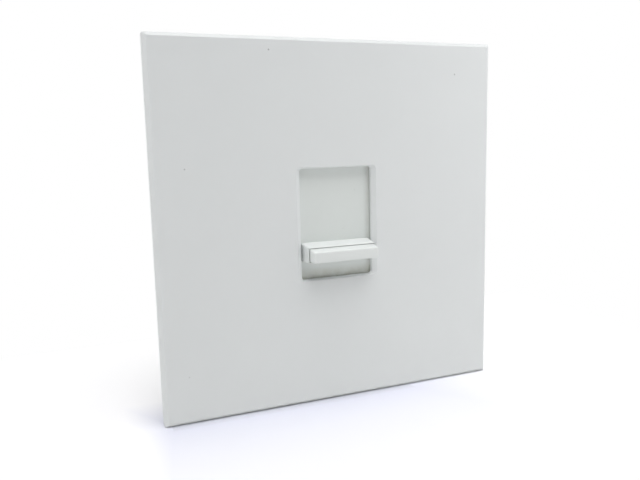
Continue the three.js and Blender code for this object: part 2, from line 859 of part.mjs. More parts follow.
function makePlunger() {
  return roundY(plunger.radius, [bailRear + clear.run, bridgeFront], 0, 0, facets.medium);
}

function makeBridge() {
  return block(about(0, bridge.width), [bridgeFront, bridgeRear], about(0, bridge.height));
}

function makeContact(side) {
  const outer = bridge.width / 2;
  const front = bridgeRear + bar.press + clear.run;
  const x = onSide(side, outer - bridge.contactWidth, outer);
  return block(x, [front, boardFront], about(0, bridge.height));
}

// Circuit board, notched round the bosses, and its screws
function makeBoard() {
  const x = innerX - clear.fit;
  const z = innerZ - clear.fit;
  const notchX = bossX - housing.bossRadius - clear.fit;
  const notchZ = bossZ - housing.bossRadius - clear.fit;
  const span = [boardFront, boardRear];
  const wide = block([-x, x], span, [-notchZ, notchZ]);
  const tall = block([-notchX, notchX], span, [-z, z]);
  return cut(join(wide, tall), ...sides.map((a) => boardScrewHole(a, beyond(span))));
}

function makeBoardScrew(side) {
  const x = side * boardScrewX;
  const top = boardRear + boardScrew.headHeight;
  const head = roundY(boardScrew.headRadius, [boardRear, top], x, ledge.z);
  const span = [boardRear - boardScrew.length, (boardRear + top) / 2];
  return join(head, roundY(boardScrew.shankRadius, span, x, ledge.z));
}

// Choke: drum core and its winding
function makeChokeCore() {
  const front = boardFront - choke.height;
  const waist = [front + choke.flange, boardFront - choke.flange];
  const profile = [
    [0, front],
    [choke.radius, front],
    [choke.radius, waist[0]],
    [choke.hubRadius, waist[0]],
    [choke.hubRadius, waist[1]],
    [choke.radius, waist[1]],
    [choke.radius, boardFront],
    [0, boardFront],
  ];
  return turned(profile, chokeX, chokeZ);
}

function makeChokeWinding() {
  const front = boardFront - choke.height + choke.flange + clear.fit;
  const rear = boardFront - choke.flange - clear.fit;
  const outer = choke.radius - choke.windingInset;
  return ring(choke.hubRadius + clear.fit, outer, [front, rear], chokeX, chokeZ);
}

function makeCapacitor(size, x, z) {
  const outline = roundedRectangle(size.width, size.height, size.radius, x, z);
  return prismY(outline, [boardFront - size.depth, boardFront]);
}

// Triac against the yoke: body, tab with its hole, three leads down to the board
function makeTriac() {
  const height = about(triacZ, triac.width);
  const middle = triac.bodyEnd - triac.bodyLength / 2;
  const body = block([triacBodyStart, triac.bodyEnd], [triacBack, triacBack + triac.bodyDepth], height);
  const tab = block([triacTabStart, middle], [triacBack, triacBack + triac.tabDepth], height);
  const leadY = about(triacBack + triac.bodyDepth / 2, triac.leadDepth);
  const leads = [-1, 0, 1].flatMap((i) => {
    const z = about(triacZ + i * triac.leadPitch, triac.leadWidth);
    return [
      block([middle, leadX], leadY, z),
      block([leadX - triac.leadDepth, leadX], [leadY[0], boardFront], z),
    ];
  });
  const holeSpan = beyond([triacBack, triacBack + triac.bodyDepth]);
  const hole = roundY(triacScrew.shankRadius + clear.fit, holeSpan, triacHoleX, triacZ);
  return cut(join(body, tab, ...leads), hole);
}

function makeInsulator() {
  const x = [triacTabStart - insulator.margin, triac.bodyEnd + insulator.margin];
  const span = [yokeRear, triacBack];
  const sheet = block(x, span, about(triacZ, triac.width + 2 * insulator.margin));
  return cut(sheet, roundY(triacScrew.shankRadius + clear.fit, beyond(span), triacHoleX, triacZ));
}

function makeTriacScrew() {
  const seat = triacBack + triac.tabDepth;
  return screwY(triacScrew, triacHoleX, triacZ, seat, seat - yokeFront - clear.fit, -1);
}

// An axial part lying along X, with its leads bent down to the board
function makeAxial(size, z) {
  const y = boardFront - size.radius - clear.fit;
  const body = roundX(size.radius, about(size.x, size.length), y, z);
  const wire = block(about(size.x, size.span), about(y, size.lead), about(z, size.lead));
  const legs = sides.map((side) => {
    const x = size.x + (side * (size.span - size.lead)) / 2;
    return block(about(x, size.lead), [y, boardFront], about(z, size.lead));
  });
  return join(body, wire, ...legs);
}

// Terminal: brass plate in a side pocket with a leg to the board, and its clamping screw
function makeTerminal(side) {
  const depth = onSide(side, terminalFloor, terminalFace);
  const height = [pocketFront + terminal.margin, pocketRear - terminal.margin];
  const sheet = block(depth, height, about(terminalZ, terminal.width));
  const leg = block(depth, [terminalY, boardFront], about(terminalZ, terminal.legWidth));
  const radius = terminalScrew.shankRadius + clear.fit;
  return cut(join(sheet, leg), roundX(radius, beyond(depth), terminalY, terminalZ));
}

function makeTerminalScrew(side) {
  const top = terminalFace + terminalScrew.headHeight;
  const headSpan = onSide(side, terminalFace, top);
  const shankSpan = onSide(side, terminalTip, (terminalFace + top) / 2);
  const head = roundX(terminalScrew.headRadius, headSpan, terminalY, terminalZ, facets.medium);
  const shank = roundX(terminalScrew.shankRadius, shankSpan, terminalY, terminalZ);
  const slot = block(
    onSide(side, top - terminalScrew.driveDepth, top + clear.overrun),
    beyond(about(terminalY, 2 * terminalScrew.headRadius)),
    about(terminalZ, terminalScrew.driveWidth),
  );
  return cut(join(head, shank), slot);
}

// Finishes: colour, roughness and metalness
function finish(color, roughness, metalness = 0) {
  return new THREE.MeshStandardMaterial({ color, roughness, metalness });
}

const whitePlastic = finish(0xdfe3e2, 0.55);
const shutterPlastic = finish(0xd8dcda, 0.6);
const barPlastic = finish(0xe4e8e7, 0.45);
const aluminium = finish(0x9a9da0, 0.45, 0.9);
const steel = finish(0xa9adb0, 0.35, 0.95);
const springSteel = finish(0x8d9296, 0.4, 0.95);
const brass = finish(0xc2a25a, 0.35, 0.95);
const copper = finish(0xb06a3a, 0.4, 0.9);
const silver = finish(0xc9ccce, 0.35, 0.9);
const greenSteel = finish(0x2f8a4a, 0.45, 0.6);
const blackPlastic = finish(0x1f2022, 0.6);
const greyNylon = finish(0xb9bab4, 0.6);
const fibre = finish(0x8a4b32, 0.85);
const phenolic = finish(0x8f6a3c, 0.7);
const carbon = finish(0x17181a, 0.8);
const laminate = finish(0x2d6a46, 0.55);
const ferrite = finish(0x2c2d30, 0.75);
const yellowFilm = finish(0xc9a93a, 0.5);
const redFilm = finish(0x8f3a2a, 0.5);
const epoxy = finish(0x1a1b1d, 0.6);
const mica = finish(0xc8c2b0, 0.5);
const blueGlass = finish(0x3a5f9a, 0.2);
const tanCoating = finish(0xb99a6a, 0.55);

const model = new THREE.Group();

function piece(name, body, material) {
  const mesh = new THREE.Mesh(geometryOf(body), material);
  mesh.name = name;
  model.add(mesh);
}

piece('faceplate', makeFaceplate(), whitePlastic);
piece('shutter', makeShutter(), shutterPlastic);
piece('slider_knob', makeKnob(), whitePlastic);
piece('push_bar', makePushBar(), barPlastic);
piece('push_rod', makePushRod(), steel);
piece('rod_clip', makeRodClip(), springSteel);
piece('heat_sink_yoke', makeYoke(), aluminium);
piece('ground_screw', makeGroundScrew(), greenSteel);
piece('housing', makeHousing(), blackPlastic);
piece('rear_cover', makeCover(), blackPlastic);
piece('track_frame', makeFrame(), greyNylon);
piece('carriage', makeCarriage(), greyNylon);
piece('wiper', makeWiper(), brass);
piece('resistor_board', makeResistorBoard(), phenolic);
piece('resistive_track', makeTrack(-1), carbon);
piece('collector_track', makeTrack(1), silver);
piece('resistor_pins', makeResistorPins(), brass);
piece('bail', makeBail(), steel);
piece('switch_case', makeSwitchCase(), blackPlastic);
piece('switch_plunger', makePlunger(), greyNylon);
piece('contact_bridge', makeBridge(), copper);
piece('circuit_board', makeBoard(), laminate);
piece('choke_core', makeChokeCore(), ferrite);
piece('choke_winding', makeChokeWinding(), copper);
piece('interference_capacitor', makeCapacitor(bigCapacitor, bigCapacitorX, chokeZ), yellowFilm);
piece('timing_capacitor', makeCapacitor(smallCapacitor, smallCapacitorX, smallCapacitor.z), redFilm);
piece('triac', makeTriac(), epoxy);
piece('triac_insulator', makeInsulator(), mica);
piece('triac_screw', makeTriacScrew(), steel);
piece('diac', makeAxial(diac, diac.z), blueGlass);
piece('charging_resistor', makeAxial(smallResistor, smallResistor.z), tanCoating);
piece('snubber_resistor', makeAxial(smallResistor, smallResistor.z + smallResistor.pitch), tanCoating);

for (const b of sides) {
  const level = b > 0 ? 'upper' : 'lower';
  piece(`${level}_mounting_screw`, makeMountScrew(b), steel);
  piece(`${level}_screw_retainer`, makeRetainer(b), fibre);
  piece(`${level}_bail_spring`, makeBailSpring(b), springSteel);
}

for (const a of sides) {
  const side = a > 0 ? 'right' : 'left';
  const wire = a > 0 ? 'load' : 'line';
  piece(`${side}_shutter_guide`, makeGuide(a), greyNylon);
  piece(`${side}_guide_rod`, makeGuideRod(a), steel);
  piece(`${side}_fixed_contact`, makeContact(a), brass);
  piece(`${side}_board_screw`, makeBoardScrew(a), steel);
  piece(`${wire}_terminal`, makeTerminal(a), brass);
  piece(`${wire}_terminal_screw`, makeTerminalScrew(a), brass);
}

for (const [a, b] of corners) {
  const corner = `${b > 0 ? 'upper' : 'lower'}_${a > 0 ? 'right' : 'left'}`;
  piece(`${corner}_faceplate_clip`, makeClip(a, b), springSteel);
  piece(`${corner}_housing_screw`, makeHousingScrew(a, b), steel);
}

export default model;
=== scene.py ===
"""Dimmer slide switch: its visible pieces and finishes, the floor, the light and the camera."""

import json
import math

import bmesh
import bpy
from mathutils import Matrix, Vector


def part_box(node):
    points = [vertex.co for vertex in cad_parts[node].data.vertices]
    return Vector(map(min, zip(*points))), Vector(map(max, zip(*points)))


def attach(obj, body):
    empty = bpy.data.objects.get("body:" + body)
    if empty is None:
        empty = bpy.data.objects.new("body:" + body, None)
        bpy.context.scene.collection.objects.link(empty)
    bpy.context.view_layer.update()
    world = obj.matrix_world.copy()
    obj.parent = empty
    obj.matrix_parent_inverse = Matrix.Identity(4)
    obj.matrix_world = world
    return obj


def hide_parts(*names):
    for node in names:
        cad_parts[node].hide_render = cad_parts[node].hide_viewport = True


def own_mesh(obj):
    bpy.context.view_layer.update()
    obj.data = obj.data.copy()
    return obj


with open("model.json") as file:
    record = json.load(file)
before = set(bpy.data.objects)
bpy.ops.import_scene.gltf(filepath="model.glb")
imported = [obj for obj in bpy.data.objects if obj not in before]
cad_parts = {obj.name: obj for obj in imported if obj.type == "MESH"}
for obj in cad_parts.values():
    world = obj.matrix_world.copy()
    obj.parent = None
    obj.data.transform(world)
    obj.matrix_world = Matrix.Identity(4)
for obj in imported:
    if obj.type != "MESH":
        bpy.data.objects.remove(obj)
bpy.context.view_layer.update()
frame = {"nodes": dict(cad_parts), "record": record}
scene = bpy.context.scene

# Lengths are written in millimetres, and MM turns them into Blender's metres
MM = 0.001
SLOTS = {row["node"]: row["material_slot"] for row in frame["record"]["subparts"]}


# Places, most of them taken from the frame
def spans(node):
    """A CAD node's x, y and z spans, rounded to a ten thousandth of a millimetre."""
    low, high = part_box(node)
    return tuple((round(a / MM, 4), round(b / MM, 4)) for a, b in zip(low, high))


def middle(node):
    return tuple((a + b) / 2 for a, b in spans(node))


def about(centre, size):
    return (centre - size / 2, centre + size / 2)


def grown(span, margin):
    return (span[0] - margin, span[1] + margin)


def shift(x, y, z):
    return Matrix.Translation(Vector((x, y, z)) * MM)


# Measures that several pieces share. The knob's axis is the push rod's, and BAIL_TRAVEL is the range of
# the bail's joint
PLATE_FRONT = spans("faceplate")[1][0]
WINDOW_X = about(0, 24.9)
WINDOW_Z = (-17.1, 18.3)
SHUTTER_FRONT = spans("shutter")[1][0]
KNOB_AXIS = middle("push_rod")[2]
BORE_RADIUS = spans("push_rod")[0][1] + 0.3
STEM_WIDTH = 5.2
STEM_HEIGHT = 4.4
CORNERS = ("upper_left", "upper_right", "lower_left", "lower_right")
BAIL_TRAVEL = 1.2

# The camera, solved from the corners of the plate in the photograph
CAMERA_PLACE = (-86.517, -201.338, 27.653)
CAMERA_AHEAD = (0.37790826, 0.9134201, -0.15115909)
CAMERA_UP = (0.07850135, 0.13106596, 0.98826072)
SENSOR_WIDTH = 36
FOCAL_LENGTH = 37.542


def make_camera():
    data = bpy.data.cameras.new("camera")
    data.sensor_fit = "HORIZONTAL"
    data.sensor_width = SENSOR_WIDTH
    data.lens = FOCAL_LENGTH
    data.clip_start = 0.01
    camera = bpy.data.objects.new("camera", data)
    scene.collection.objects.link(camera)
    ahead = Vector(CAMERA_AHEAD).normalized()
    right = ahead.cross(Vector(CAMERA_UP)).normalized()
    turn = Matrix((right, right.cross(ahead), -ahead)).transposed().to_4x4()
    camera.matrix_world = shift(*CAMERA_PLACE) @ turn
    scene.camera = camera


# Shader sums written as Python expressions, and any other node through one method
class Field:
    """A number or colour that varies over a surface."""

    def __init__(self, tree, socket):
        self.tree = tree
        self.socket = socket

    def maths(self, operation, first, second):
        return self.tree.node("ShaderNodeMath", {"operation": operation}, {0: first, 1: second})

    def __add__(self, other):
        return self.maths("ADD", self, other)

    __radd__ = __add__

    def __sub__(self, other):
        return self.maths("SUBTRACT", self, other)

    def __rsub__(self, other):
        return self.maths("SUBTRACT", other, self)

    def __mul__(self, other):
        return self.maths("MULTIPLY", self, other)

    __rmul__ = __mul__

    def __lt__(self, other):
        return self.maths("LESS_THAN", self, other)

    def __gt__(self, other):
        return self.maths("GREATER_THAN", self, other)


class NodeTree:
    """The nodes of a material or of the world."""

    def __init__(self, owner):
        owner.use_nodes = True
        self.nodes = owner.node_tree.nodes
        self.links = owner.node_tree.links

    def node(self, kind, settings=None, inputs=None, output=0):
        made = self.nodes.new(kind)
        for key, value in (settings or {}).items():
            if key == "stops":
                self.set_stops(made.color_ramp.elements, value)
            else:
                setattr(made, key, value)
        for key, value in (inputs or {}).items():
            self.feed(made.inputs[key], value)
        return Field(self, made.outputs[output])

    def set_stops(self, ramp, stops):
        while len(ramp) < len(stops):
            ramp.new(0.5)
        for stop, (position, colour) in zip(ramp, stops):
            stop.position = position
            stop.color = (*colour, 1)

    def feed(self, socket, value):
        if isinstance(value, Field):
            self.links.new(value.socket, socket)
        elif hasattr(socket.default_value, "__len__") and len(socket.default_value) == 4:
            socket.default_value = (*value[:3], 1)
        else:
            socket.default_value = value

    def blend(self, factor, first, second):
        """A colour from first to second. A Mix node's colours are its inputs 6 and 7 and its output 2."""
        return self.node("ShaderNodeMix", {"data_type": "RGBA"}, {0: factor, 6: first, 7: second}, 2)

    def seen(self):
        """1 for what the camera, a reflection or glass shows, 0 for what only lights the scene."""
        kinds = ("Is Camera Ray", "Is Glossy Ray", "Is Transmission Ray")
        return sum(self.node("ShaderNodeLightPath", output=kind) for kind in kinds)


def tint(colour, factor):
    return tuple(part * factor for part in colour)


class Finish(NodeTree):
    """A procedural material on object coordinates."""

    def __init__(self, name, constants=None):
        self.material = bpy.data.materials.new(name)
        super().__init__(self.material)
        self.shader = self.nodes["Principled BSDF"]
        for socket, value in (constants or {}).items():
            self.shader.inputs[socket].default_value = value
        self.place = self.node("ShaderNodeTexCoord", output="Object")

    def noise(self, size, detail=2, rough=0.5, stretch=(1, 1, 1)):
        """Noise from 0 to 1 whose lumps have a size, drawn out by stretch along each axis."""
        drawn = self.node("ShaderNodeMapping", {}, {"Vector": self.place, "Scale": [1 / s for s in stretch]})
        return self.node("ShaderNodeTexNoise", {}, {
            "Vector": drawn, "Scale": 1 / (size * MM), "Detail": detail, "Roughness": rough})

    def axis(self, name):
        """A place along an axis, in metres."""
        return self.node("ShaderNodeSeparateXYZ", {}, {0: self.place}, name)

    def largest(self, value, *others):
        for other in others:
            value = self.node("ShaderNodeMath", {"operation": "MAXIMUM"}, {0: value, 1: other})
        return value

    def near(self, point, radius):
        """1 within the radius of a point, 0 elsewhere."""
        spot = tuple(part * MM for part in point)
        away = self.node("ShaderNodeVectorMath", {"operation": "DISTANCE"}, {0: self.place, 1: spot}, "Value")
        return away < radius * MM

    def ramp(self, value, zero, one):
        """From 0 to 1 as a length in metres goes between two lengths in millimetres."""
        return self.node("ShaderNodeMapRange", {}, {
            "Value": value, "From Min": zero * MM, "From Max": one * MM})

    def cloudy(self, colour, shade, cloud, fine):
        """A colour that broad clouds and a fine grain make lighter and darker by shade."""
        tone = self.noise(cloud, 3) * 0.7 + fine * 0.3
        return self.blend(tone, tint(colour, 1 - shade), tint(colour, 1 + shade))

    def worn(self, roughness, patch, change):
        """A roughness that changes from patch to patch, as handled plastic's does."""
        return roughness + (self.noise(patch) - 0.5) * change

    def relief(self, height, depth):
        """A bump from a height of 0 to 1."""
        bump = self.node("ShaderNodeBump", {}, {"Height": height, "Distance": depth * MM, "Strength": 1})
        self.feed(self.shader.inputs["Normal"], bump)

    def surface(self, colour, roughness):
        self.feed(self.shader.inputs["Base Color"], colour)
        self.feed(self.shader.inputs["Roughness"], roughness)
        return self.material


def speckled(finish, body, y, specks):
    """The colour with dark specks at (x, z, radius, strength) on the plane y."""
    dark = 0
    for x, z, radius, strength in specks:
        dark = dark + finish.near((x, y, z), radius) * strength
    return finish.blend(dark, body, (0.16, 0.16, 0.15))


def faceplate_white():
    """Satin white plastic, slightly wavy, with the few dark specks that the moulding has."""
    finish = Finish("faceplate white")
    fine = finish.noise(0.3, 3, 0.6)
    body = finish.cloudy((0.76, 0.78, 0.783), 0.015, 11, fine)
    body = speckled(finish, body, PLATE_FRONT, (
        (-21.49, 53.86, 0.26, 0.5),
        (43.63, 47.61, 0.3, 0.38),
        (-48.19, 19.51, 0.26, 0.35),
        (-49.98, -42.94, 0.24, 0.2),
    ))
    finish.relief(fine * 0.7 + finish.noise(2.2) * 1.4, 0.006)
    return finish.surface(body, finish.worn(0.47, 16, 0.12))


def shutter_shade_and_specks(finish, body):
    """Painted shade in a brownish tone where the window's lower end and right side rest on the shutter, and
    three faint specks.
    """
    band_half = 3.6
    above = finish.axis("Z") - WINDOW_Z[0] * MM
    low = finish.ramp(finish.largest(above, above * -1), band_half, 0)
    side = finish.ramp(finish.axis("X"), 10, 12.5)
    # Painted shade: the shutter is darkened along the window's lower edge and right side, where the recess
    # shades it
    painted_shade = (low * 0.6 + side * 0.25) * (finish.noise(2.2, 3) * 1.3)
    body = finish.blend(painted_shade, body, (0.42, 0.40, 0.28))
    return speckled(finish, body, SHUTTER_FRONT, (
        (7.2, 10.8, 0.3, 0.06),
        (-4.6, 3.9, 0.25, 0.04),
        (2.8, -1.6, 0.3, 0.04),
    ))


def moulded(name, colour, roughness=0.5, grain=0.25, depth=0.006, shade=0.02, shade_and_marks=None, constants=None):
    """Injection moulded plastic: cloudy tone, an even fine grain and patches of handling gloss."""
    finish = Finish(name, constants)
    fine = finish.noise(grain, 3, 0.6)
    body = finish.cloudy(colour, shade, 9, fine)
    # An optional layer of painted shade and marks over the colour
    if shade_and_marks:
        body = shade_and_marks(finish, body)
    finish.relief(fine * 0.8 + finish.noise(grain * 6) * 0.6, depth)
    return finish.surface(body, finish.worn(roughness, 14, 0.14))


def plated(name, colour, roughness=0.3, metallic=1.0, stretch=(1, 1, 1), shade=0.12, grain=0.4, depth=0.004):
    """Bare or plated metal: drawn streaks, a stained tone and a worn grain."""
    finish = Finish(name, {"Metallic": metallic})
    streak = finish.noise(grain, 4, stretch=stretch)
    stain = finish.noise(5, 3)
    body = finish.blend(streak * 0.5 + stain * 0.5, tint(colour, 1 - shade), tint(colour, 1 + shade))
    finish.relief(streak, depth)
    return finish.surface(body, roughness + (stain - 0.5) * 0.25 + (streak - 0.5) * 0.15)


def banded(name, node, colour, width, bands):
    """A coated part with painted bands of one width, each given by its distance from the left end."""
    finish = Finish(name)
    along = finish.axis("X") - spans(node)[0][0] * MM
    grain = finish.noise(0.35, 3)
    body = finish.blend(grain, tint(colour, 0.92), tint(colour, 1.08))
    for start, band_colour in bands:
        body = finish.blend((along > start * MM) * (along < (start + width) * MM), body, band_colour)
    finish.relief(grain, 0.01)
    return finish.surface(body, 0.38 + grain * 0.2)


def laminate_green():
    """Solder mask over copper tracks, with the weave of the board just showing."""
    finish = Finish("board green", {"Coat Weight": 0.3, "Coat Roughness": 0.15})
    flat = finish.node("ShaderNodeMapping", {}, {"Vector": finish.place, "Rotation": (math.pi / 2, 0, 0)})
    tracks = finish.node("ShaderNodeTexBrick", {"offset": 0.37, "squash": 1.6}, {
        "Vector": flat, "Color1": (1, 1, 1), "Color2": (1, 1, 1), "Mortar": (0, 0, 0), "Scale": 160,
        "Mortar Size": 0.02, "Mortar Smooth": 0.1, "Brick Width": 1.1, "Row Height": 0.5}, "Fac")
    weave = finish.noise(0.5)
    body = finish.blend(tracks, (0.020, 0.17, 0.065), (0.06, 0.30, 0.12))
    body = finish.blend(weave * 0.3, body, (0.03, 0.12, 0.05))
    finish.relief(tracks * 0.8 + weave * 0.3, 0.03)
    return finish.surface(body, 0.35 + weave * 0.15)


# The finish of each material slot. A grain is the size of its lumps and a depth the height of its bump
FINISHES = {
    "white_plastic": faceplate_white(),
    "shutter_plastic": moulded("shutter white", (0.742, 0.775, 0.757), grain=0.45, depth=0.010,
                               shade_and_marks=shutter_shade_and_specks),
    "bar_plastic": moulded("bar white", (0.775, 0.80, 0.79), roughness=0.4, grain=0.35, depth=0.004,
                           shade=0.012),
    "aluminium": plated("extruded aluminium", (0.66, 0.67, 0.68), roughness=0.36, stretch=(1, 1, 60),
                        depth=0.010),
    "steel": plated("zinc plated steel", (0.60, 0.61, 0.63), roughness=0.28, shade=0.15),
    "spring_steel": plated("spring steel", (0.42, 0.43, 0.45), roughness=0.32, shade=0.2),
    "green_screw": plated("green plated screw", (0.05, 0.30, 0.11), roughness=0.34, metallic=0.55),
    "fibre": moulded("vulcanised fibre", (0.30, 0.115, 0.055), roughness=0.8, grain=0.6, depth=0.03,
                     shade=0.22),
    "black_plastic": moulded("black moulding", (0.022, 0.0225, 0.024), grain=0.35, depth=0.014, shade=0.25),
    "grey_nylon": moulded("natural nylon", (0.50, 0.50, 0.46), roughness=0.45, grain=0.5, shade=0.05,
                          constants={"Subsurface Weight": 0.05}),
    "brass": plated("brass", (0.72, 0.50, 0.20), roughness=0.28, shade=0.16),
    "copper": plated("enamelled copper", (0.55, 0.20, 0.07), metallic=0.85, shade=0.18),
    "phenolic": moulded("paper laminate", (0.34, 0.19, 0.075), roughness=0.55, grain=0.7, depth=0.008,
                        shade=0.18),
    "carbon": moulded("printed carbon", (0.018, 0.018, 0.02), roughness=0.7, grain=0.2, depth=0.012,
                      shade=0.3),
    "silver": plated("printed silver", (0.70, 0.69, 0.66), roughness=0.45, metallic=0.9, grain=0.2),
    "circuit_laminate": laminate_green(),
    "ferrite": moulded("ferrite", (0.045, 0.045, 0.05), roughness=0.65, grain=0.3, depth=0.02, shade=0.3,
                       constants={"Metallic": 0.3}),
    "yellow_film": moulded("yellow dipped film", (0.62, 0.42, 0.06), roughness=0.3, grain=1.6, depth=0.03,
                           shade=0.08),
    "red_film": moulded("red dipped film", (0.34, 0.045, 0.025), roughness=0.28, grain=1.2, depth=0.03,
                        shade=0.1),
    "black_epoxy": moulded("black epoxy", (0.02, 0.02, 0.022), roughness=0.45, grain=0.3, depth=0.012,
                           shade=0.25),
    "mica": moulded("mica sheet", (0.60, 0.54, 0.40), roughness=0.35, grain=1.5, shade=0.12),
    "diac_glass": banded("diac glass", "diac", (0.10, 0.22, 0.48), width=0.7, bands=[
        (2.5, (0.01, 0.01, 0.012)),
    ]),
    "tan_coating": banded("resistor coating", "charging_resistor", (0.56, 0.38, 0.20), width=0.6, bands=[
        (3.1, (0.25, 0.08, 0.02)),
        (4.5, (0.01, 0.01, 0.01)),
        (5.9, (0.70, 0.28, 0.02)),
        (7.7, (0.60, 0.42, 0.10)),
    ]),
}

# Mesh making
CORNER_STEPS = 5
FLAT_WITHIN = math.radians(0.5)


def outline(bm, y, x_span, z_span, radius):
    """A closed loop of edges in the plane y: a rectangle with rounded corners."""
    left, right = (x * MM for x in x_span)
    low, high = (z * MM for z in z_span)
    place = Matrix.Translation(((left + right) / 2, y * MM, (low + high) / 2))
    stand = Matrix.Rotation(math.pi / 2, 4, "X")
    size = Matrix.Diagonal((right - left, high - low, 1, 1))
    made = bmesh.ops.create_grid(bm, x_segments=1, y_segments=1, size=0.5, matrix=place @ stand @ size)
    bmesh.ops.bevel(bm, geom=made["verts"], offset=radius * MM, offset_type="OFFSET", segments=CORNER_STEPS,
                    profile=0.5, affect="VERTICES", clamp_overlap=True, material=-1)
    face = next(iter(bm.faces))
    edges = list(face.edges)
    bmesh.ops.delete(bm, geom=[face], context="FACES_ONLY")
    return edges


def lofted(loops, closed=False):
    """A skin over loops given as (y, x span, z span, corner radius).

    It has a face at each end, or where it is closed, the last loop joins the first.
    """
    bm = bmesh.new()
    rings = [outline(bm, *loop) for loop in loops]
    followers = rings[1:] + rings[:1] if closed else rings[1:]
    for first, second in zip(rings, followers):
        bmesh.ops.bridge_loops(bm, edges=first + second)
    if not closed:
        for end in (rings[0], rings[-1]):
            bmesh.ops.contextual_create(bm, geom=end)
    bmesh.ops.recalc_face_normals(bm, faces=bm.faces)
    return bm


def prism(y_span, x_span, z_span, radius):
    """A straight bar along Y with rounded corners."""
    return lofted([(y, x_span, z_span, radius) for y in y_span])


def brick(x_span, y_span, z_span):
    """A box between three spans."""
    bm = bmesh.new()
    ranges = [Vector(span) * MM for span in (x_span, y_span, z_span)]
    place = Matrix.Translation([(low + high) / 2 for low, high in ranges])
    size = Matrix.Diagonal((*(high - low for low, high in ranges), 1))
    bmesh.ops.create_cube(bm, size=1, matrix=place @ size)
    return bm


def settle(bm):
    """Put edges and faces in a fixed order, because a spin leaves them in a chance one."""
    bm.verts.index_update()
    count = len(bm.verts)

    def place(part):
        numbers = [vert.index for vert in part.verts]
        return max(numbers) * count + min(numbers)

    bm.edges.sort(key=place)
    bm.faces.sort(key=place)


def turned(profile, steps=32):
    """A shape turned about the Y axis, from points of radius and y."""
    bm = bmesh.new()
    points = [bm.verts.new((radius * MM, y * MM, 0)) for radius, y in profile]
    edges = [bm.edges.new(pair) for pair in zip(points, points[1:])]
    bmesh.ops.spin(bm, geom=points + edges, cent=(0, 0, 0), axis=(0, 1, 0), angle=2 * math.pi, steps=steps,
                   use_merge=True)
    settle(bm)
    bmesh.ops.remove_doubles(bm, verts=bm.verts, dist=1e-6)
    bmesh.ops.recalc_face_normals(bm, faces=bm.faces)
    return bm


def wound(section, pitch, turns, steps):
    """A coil about the Y axis, from a closed section of radius and y, with its ends filled."""
    bm = bmesh.new()
    points = [bm.verts.new((radius * MM, y * MM, 0)) for radius, y in section]
    edges = [bm.edges.new(pair) for pair in zip(points, points[1:] + points[:1])]
    bmesh.ops.spin(bm, geom=points + edges, cent=(0, 0, 0), axis=(0, 1, 0), angle=2 * math.pi * turns,
                   dvec=(0, pitch * MM / steps, 0), steps=steps * turns)
    settle(bm)
    bmesh.ops.holes_fill(bm, edges=[edge for edge in bm.edges if len(edge.link_faces) == 1])
    bmesh.ops.recalc_face_normals(bm, faces=bm.faces)
    return bm


def wire_section(coil_radius, y, wire_radius, sides=8):
    """The points of radius and y round a wire where it starts on its coil."""
    turns = [k * 2 * math.pi / sides for k in range(sides)]
    return [(coil_radius + wire_radius * math.cos(turn), y + wire_radius * math.sin(turn)) for turn in turns]


def moved(bm, matrix):
    bmesh.ops.transform(bm, matrix=matrix, verts=bm.verts)
    return bm


def pin(radius, x, z, y_span, sides=24):
    """A round pin along Y with eased ends."""
    low, high = y_span
    ease = radius * 0.15
    bm = turned([(0, low), (radius - ease, low), (radius, low + ease), (radius, high - ease),
                 (radius - ease, high), (0, high)], sides)
    return moved(bm, shift(x, 0, z))


def merged(*parts):
    """Several meshes as one, each left as its own closed shell."""
    whole = bmesh.new()
    for bm in parts:
        mesh = bpy.data.meshes.new("part")
        bm.to_mesh(mesh)
        bm.free()
        whole.from_mesh(mesh)
        bpy.data.meshes.remove(mesh)
    return whole


def as_object(name, bm):
    mesh = bpy.data.meshes.new(name)
    bm.to_mesh(mesh)
    bm.free()
    made = bpy.data.objects.new(name, mesh)
    scene.collection.objects.link(made)
    return made


def carved(bm, *cutters, operation="DIFFERENCE"):
    """The mesh with each cutter's space taken out of it, or with each mesh added to it by UNION."""
    made = as_object("carving", bm)
    tools = [as_object("cutter", cutter) for cutter in cutters]
    for tool in tools:
        cut = made.modifiers.new("cut", "BOOLEAN")
        cut.operation = operation
        cut.solver = "EXACT"
        cut.object = tool
    result = bmesh.new()
    result.from_mesh(made.evaluated_get(bpy.context.evaluated_depsgraph_get()).to_mesh())
    for leftover in (made, *tools):
        mesh = leftover.data
        bpy.data.objects.remove(leftover)
        bpy.data.meshes.remove(mesh)
    bmesh.ops.remove_doubles(result, verts=result.verts, dist=1e-7)
    bmesh.ops.dissolve_limit(result, angle_limit=FLAT_WITHIN, verts=result.verts, edges=result.edges)
    return result


def copy_of(node):
    """A merged copy of a CAD node's mesh, with its flat faces whole again."""
    bm = bmesh.new()
    bm.from_mesh(frame["nodes"][node].data)
    bmesh.ops.remove_doubles(bm, verts=bm.verts, dist=1e-6)
    bmesh.ops.dissolve_limit(bm, angle_limit=FLAT_WITHIN, verts=bm.verts, edges=bm.edges)
    return bm


def dress(node, bm, body="base", edge=0.0, segments=2, angle=28, level=False, finish=None):
    """The finished piece that stands for a CAD node, with eased edges and the finish of the node's slot.

    With level, wide faces that holes and steps cut through are shaded flat.
    """
    made = as_object(f"{node}_dressed", bm)
    made.data.materials.append(FINISHES[finish or SLOTS[node]])
    for face in made.data.polygons:
        face.use_smooth = True
    made.data.set_sharp_from_angle(angle=math.radians(angle))
    if edge:
        ease = made.modifiers.new("eased edges", "BEVEL")
        ease.width = edge * MM
        ease.segments = segments
        ease.limit_method = "ANGLE"
        ease.angle_limit = math.radians(angle)
        ease.harden_normals = True
        ease.use_clamp_overlap = True
    if level:
        weighted = made.modifiers.new("level faces", "WEIGHTED_NORMAL")
        weighted.weight = 100
        weighted.keep_sharp = True
    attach(made, body)
    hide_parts(node)
    return made


